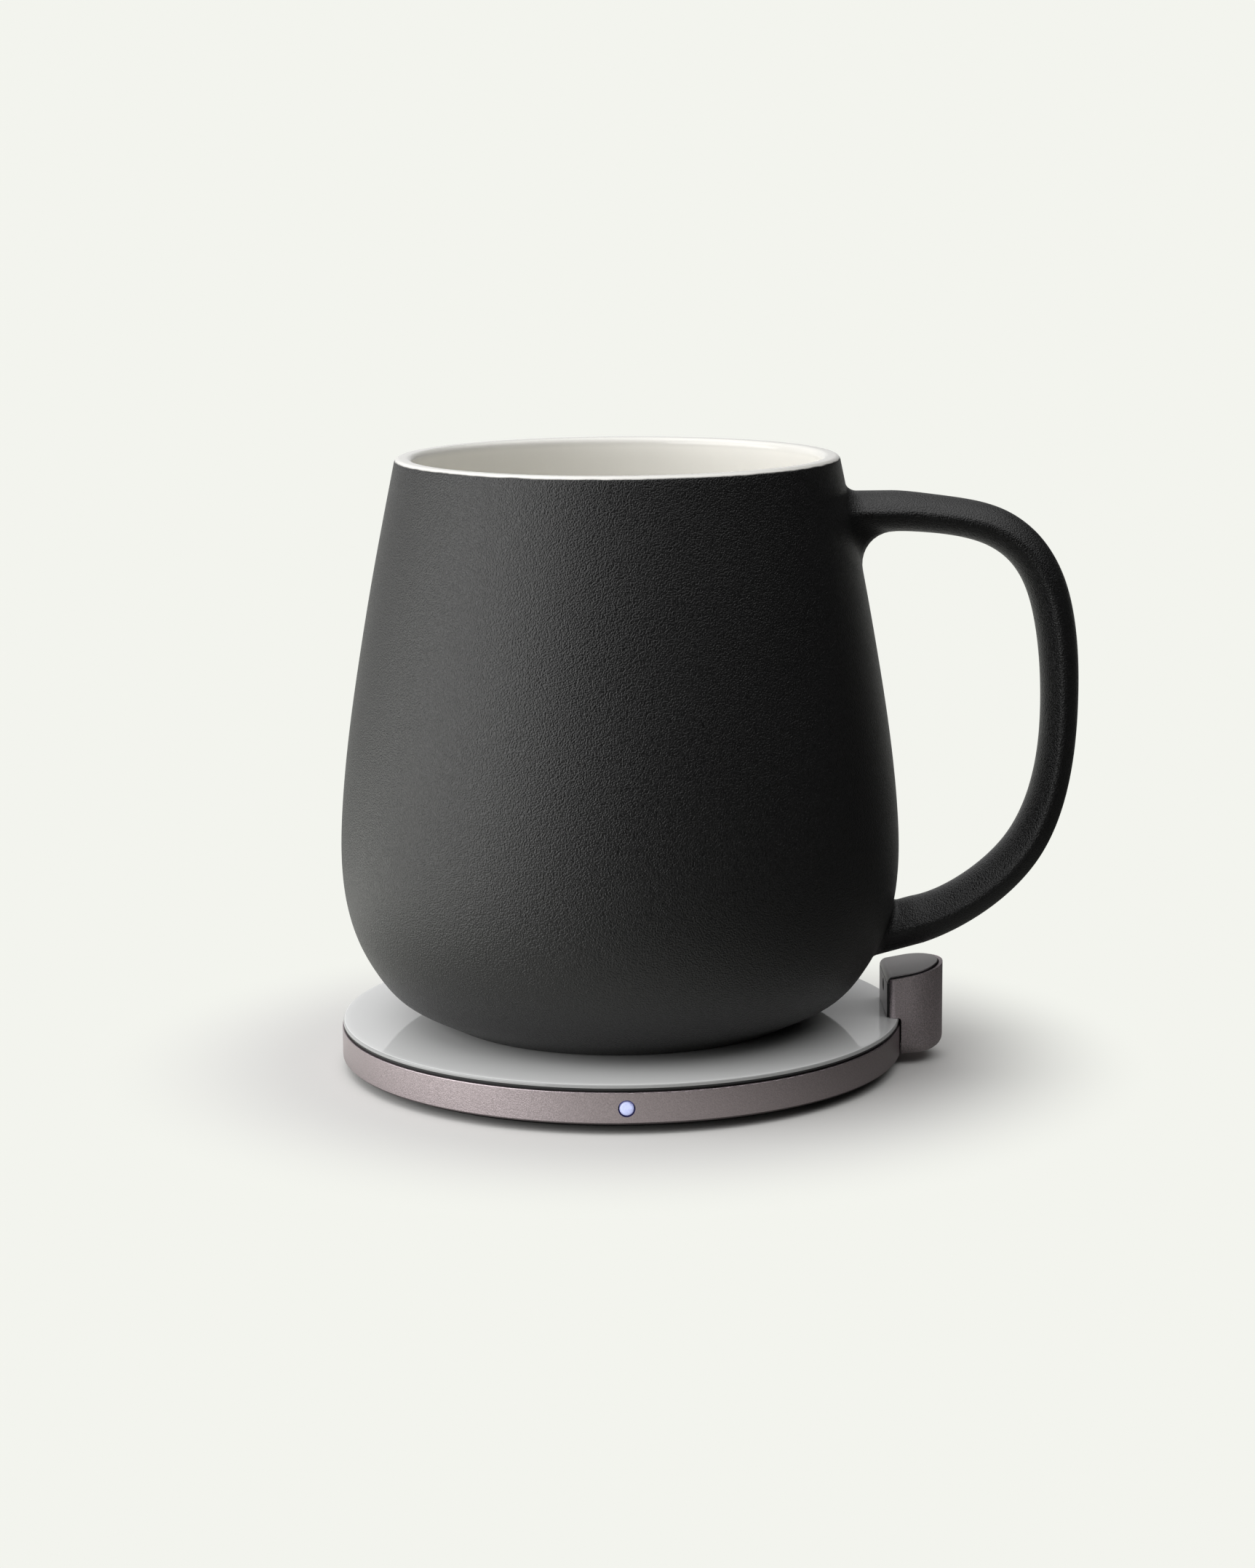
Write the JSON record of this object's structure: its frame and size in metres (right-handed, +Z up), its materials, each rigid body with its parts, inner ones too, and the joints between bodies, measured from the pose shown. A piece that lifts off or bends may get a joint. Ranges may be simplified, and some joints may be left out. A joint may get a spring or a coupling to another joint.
{
  "type": "self heating mug",
  "caption": "Rounded ceramic mug with a loop handle, heated inside its base, standing on a round wireless heating dock with a temperature sensor post.",
  "frame": {"origin": "centre of the dock's round foot, on the surface that the dock stands on", "axes": "+Z up, +X towards the handle and the sensor post, -Y towards the indicator light, +Y towards the power socket"},
  "size_m": [0.1313, 0.1001, 0.1084],
  "materials": {
    "black_ceramic": "matt black glaze outside, glossy white glaze inside",
    "silicone": "soft dark silicone",
    "heater": "printed heater on amber film",
    "foam": "closed cell foam",
    "circuit_board": "green solder mask",
    "chip": "black moulded packages",
    "ferrite": "sintered ferrite",
    "copper": "enamelled copper litz",
    "base_plastic": "dark heat proof plastic",
    "white_glass": "white back printed glass",
    "gasket_black": "black seal",
    "ring_metal": "fine blasted rosy grey anodising",
    "cover_plastic": "textured black plastic",
    "screw_steel": "plated steel",
    "film": "insulating film",
    "socket_steel": "stamped steel",
    "socket_plastic": "moulded block with contacts",
    "indicator": "frosted light guide, lit blue white",
    "post_metal": "fine blasted dark grey anodising",
    "strip_metal": "satin dark grey",
    "frame_plastic": "black moulding",
    "window": "dark filter window",
    "sensor_metal": "sensor can"
  },
  "bodies": {
    "dock": {"glass_plate": "white_glass", "glass_gasket": "gasket_black", "dock_ring": "ring_metal", "bottom_cover": "cover_plastic", "foot_pad": "silicone", "cover_screws": "screw_steel", "coil_film": "film", "sending_coil": "copper", "coil_ferrite": "ferrite", "coil_carrier": "base_plastic", "foam_post": "foam", "plate_thermistor": "chip", "main_board": "circuit_board", "board_screws": "screw_steel", "power_chips": "chip", "power_inductor": "ferrite", "filter_capacitors": "film", "sensor_connector": "socket_plastic", "usb_shell": "socket_steel", "usb_tongue": "socket_plastic", "indicator_lens": "indicator", "indicator_led": "indicator", "post_sleeve": "post_metal", "post_frame": "frame_plastic", "post_screws": "screw_steel", "post_cap": "strip_metal", "post_face": "strip_metal", "sensor_window": "window", "sensor_can": "sensor_metal", "sensor_board": "circuit_board", "sensor_cable": "film"},
    "mug": {"mug_body": "black_ceramic", "mug_handle": "black_ceramic", "heater_film": "heater", "insulation_pad": "foam", "thermal_cutout": "base_plastic", "receiver_chips": "chip", "receiver_board": "circuit_board", "receiver_ferrite": "ferrite", "receiver_coil": "copper", "base_seal": "silicone", "base_plate": "base_plastic"}
  },
  "joints": [
    {"name": "mug_lift", "type": "slide", "parent": "dock", "child": "mug", "axis": [0, 0, 1], "range_m": [0, 0.1]}
  ]
}
